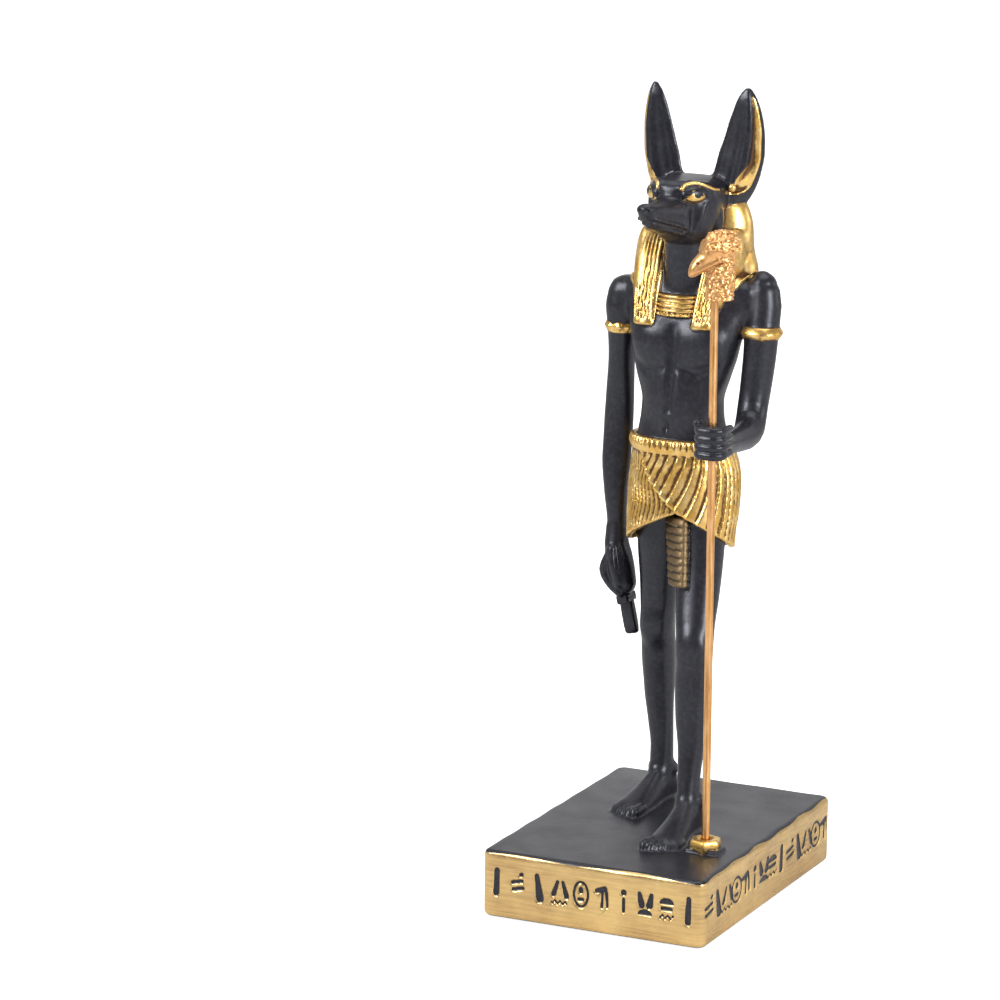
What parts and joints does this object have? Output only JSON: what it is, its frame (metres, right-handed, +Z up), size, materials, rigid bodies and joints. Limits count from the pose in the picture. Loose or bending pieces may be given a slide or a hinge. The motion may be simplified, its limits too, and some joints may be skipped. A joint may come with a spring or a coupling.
{
  "type": "anubis standing statue",
  "caption": "Jackal-headed standing figure in a gold kilt and wig, one foot forward, holding an ankh and a tall staff with an animal head, on an oblong plinth.",
  "frame": {"origin": "centre of the plinth's underside", "axes": "+Z up, the figure faces -Y, +X is the side of the staff (the figure's left)"},
  "size_m": [0.061, 0.085, 0.2045],
  "materials": {
    "painted_resin": "satin black and antique gold paint on cast resin",
    "copper_rod": "smooth copper-gold rod",
    "gilt_head": "rough copper-gold cast head"
  },
  "bodies": {
    "root": {"figure_on_plinth": "painted_resin", "staff_rod": "copper_rod", "staff_head": "gilt_head"}
  },
  "joints": []
}
